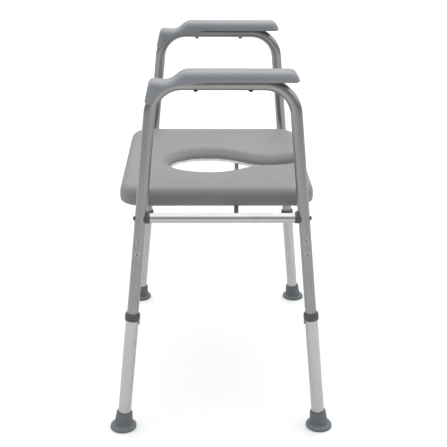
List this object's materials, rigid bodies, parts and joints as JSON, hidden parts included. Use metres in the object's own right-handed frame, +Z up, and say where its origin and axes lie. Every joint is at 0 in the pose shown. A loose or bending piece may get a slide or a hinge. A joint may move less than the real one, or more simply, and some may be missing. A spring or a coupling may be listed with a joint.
{
  "type": "shower stool",
  "caption": "Shower stool with a soft seat that has a keyhole opening to the front, two padded armrests, and splayed legs that adjust in height.",
  "frame": {"origin": "on the floor, under the middle of the box that holds the stool", "axes": "+Z up, -Y the front, where the seat's opening runs out, -X the sitter's right"},
  "size_m": [0.6518, 0.4478, 0.72],
  "materials": {
    "frame_tube": "satin anodised, mid grey",
    "leg_tube": "satin anodised, light",
    "rail_tube": "bright drawn",
    "dark_plastic": "fine grain, dark grey",
    "rubber": "moulded, blue-grey",
    "seat_skin": "soft polyurethane skin, fine leather-like grain",
    "seat_board": "plain moulded, light grey",
    "arm_pad": "soft polyurethane skin, smooth",
    "steel": "stainless",
    "dark_steel": "dark grey coated"
  },
  "bodies": {
    "frame": {"side_frame_right": "frame_tube", "side_rail_right": "rail_tube", "arm_pad_right": "arm_pad", "arm_screw_front_right": "dark_steel", "arm_screw_back_right": "dark_steel", "side_frame_left": "frame_tube", "side_rail_left": "rail_tube", "arm_pad_left": "arm_pad", "arm_screw_front_left": "dark_steel", "arm_screw_back_left": "dark_steel", "spring_clip_front_right": "steel", "rivet_lower_front_right": "steel", "rivet_upper_front_right": "steel", "corner_saddle_front_right": "dark_plastic", "rail_bolt_front_right": "dark_steel", "seat_clip_front_right": "dark_plastic", "clip_screw_front_right": "steel", "spring_clip_front_left": "steel", "rivet_lower_front_left": "steel", "rivet_upper_front_left": "steel", "corner_saddle_front_left": "dark_plastic", "rail_bolt_front_left": "dark_steel", "seat_clip_front_left": "dark_plastic", "clip_screw_front_left": "steel", "spring_clip_back_right": "steel", "rivet_lower_back_right": "steel", "rivet_upper_back_right": "steel", "corner_saddle_back_right": "dark_plastic", "rail_bolt_back_right": "dark_steel", "seat_clip_back_right": "dark_plastic", "clip_screw_back_right": "steel", "spring_clip_back_left": "steel", "rivet_lower_back_left": "steel", "rivet_upper_back_left": "steel", "corner_saddle_back_left": "dark_plastic", "rail_bolt_back_left": "dark_steel", "seat_clip_back_left": "dark_plastic", "clip_screw_back_left": "steel", "cross_tube_front": "rail_tube", "cross_tube_back": "rail_tube", "support_bar": "dark_steel", "seat_board": "seat_board", "seat_cushion": "seat_skin"},
    "leg_front_right": {"leg_tube_front_right": "leg_tube", "collar_front_right": "dark_plastic", "foot_front_right": "rubber"},
    "button_front_right": {"snap_button_front_right": "steel"},
    "leg_front_left": {"leg_tube_front_left": "leg_tube", "collar_front_left": "dark_plastic", "foot_front_left": "rubber"},
    "button_front_left": {"snap_button_front_left": "steel"},
    "leg_back_right": {"leg_tube_back_right": "leg_tube", "collar_back_right": "dark_plastic", "foot_back_right": "rubber"},
    "button_back_right": {"snap_button_back_right": "steel"},
    "leg_back_left": {"leg_tube_back_left": "leg_tube", "collar_back_left": "dark_plastic", "foot_back_left": "rubber"},
    "button_back_left": {"snap_button_back_left": "steel"}
  },
  "joints": [
    {"name": "leg_height_front_right", "type": "slide", "parent": "frame", "child": "leg_front_right", "axis": [0.063, 0.0987, 0.9931], "range_m": [0, 0.12]},
    {"name": "button_press_front_right", "type": "slide", "parent": "frame", "child": "button_front_right", "axis": [0.0062, -0.9951, 0.0985], "range_m": [0, 0.0045], "stiffness_N_per_m": 1500, "springref_m": -0.003},
    {"name": "leg_height_front_left", "type": "slide", "parent": "frame", "child": "leg_front_left", "axis": [-0.063, 0.0987, 0.9931], "range_m": [0, 0.12]},
    {"name": "button_press_front_left", "type": "slide", "parent": "frame", "child": "button_front_left", "axis": [-0.0062, -0.9951, 0.0985], "range_m": [0, 0.0045], "stiffness_N_per_m": 1500, "springref_m": -0.003},
    {"name": "leg_height_back_right", "type": "slide", "parent": "frame", "child": "leg_back_right", "axis": [0.063, -0.0987, 0.9931], "range_m": [0, 0.12]},
    {"name": "button_press_back_right", "type": "slide", "parent": "frame", "child": "button_back_right", "axis": [0.0062, 0.9951, 0.0985], "range_m": [0, 0.0045], "stiffness_N_per_m": 1500, "springref_m": -0.003},
    {"name": "leg_height_back_left", "type": "slide", "parent": "frame", "child": "leg_back_left", "axis": [-0.063, -0.0987, 0.9931], "range_m": [0, 0.12]},
    {"name": "button_press_back_left", "type": "slide", "parent": "frame", "child": "button_back_left", "axis": [-0.0062, 0.9951, 0.0985], "range_m": [0, 0.0045], "stiffness_N_per_m": 1500, "springref_m": -0.003}
  ]
}
